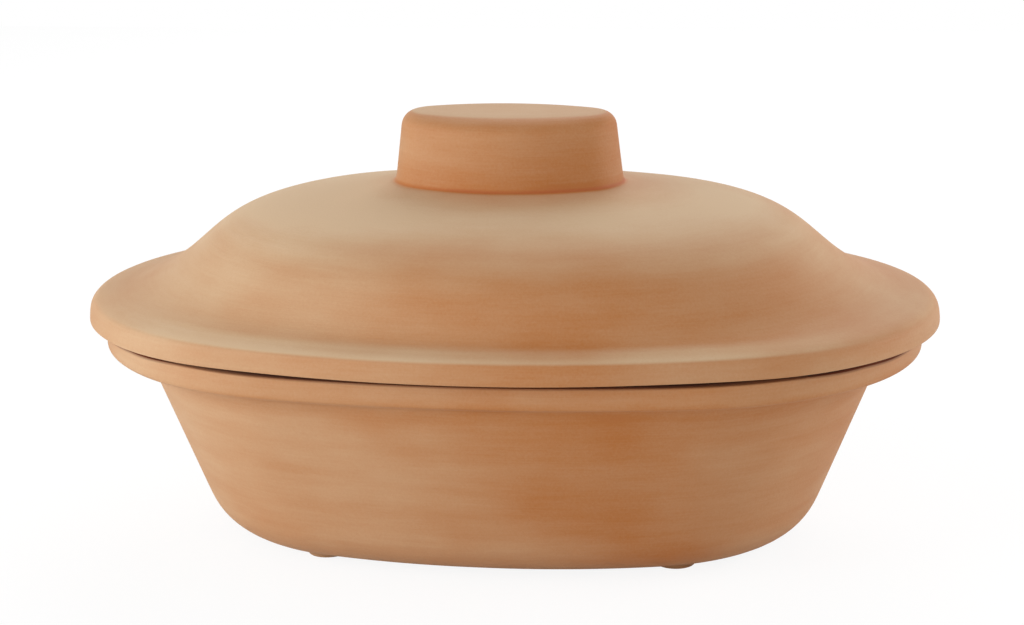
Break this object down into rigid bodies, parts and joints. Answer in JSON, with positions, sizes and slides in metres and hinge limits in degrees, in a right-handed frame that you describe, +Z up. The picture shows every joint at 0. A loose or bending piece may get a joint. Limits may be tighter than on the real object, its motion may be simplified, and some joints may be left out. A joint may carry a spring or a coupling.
{
  "type": "clay roaster",
  "caption": "Oval unglazed clay roaster: a tapered dish with a flanged rim and foot pads, and a domed lid with a broad brim and a hollow oval knob.",
  "frame": {"origin": "on the table, under the middle of the dish, at the underside of its foot pads", "axes": "+X along the roaster, from the left grip to the right one; +Y across it, away from the viewer; +Z up through the knob"},
  "size_m": [0.37, 0.2472, 0.1862],
  "materials": {
    "dish_clay": "matte unglazed terracotta",
    "lid_clay": "matte unglazed terracotta"
  },
  "bodies": {
    "root": {"dish": "dish_clay", "lid": "lid_clay"}
  },
  "joints": []
}
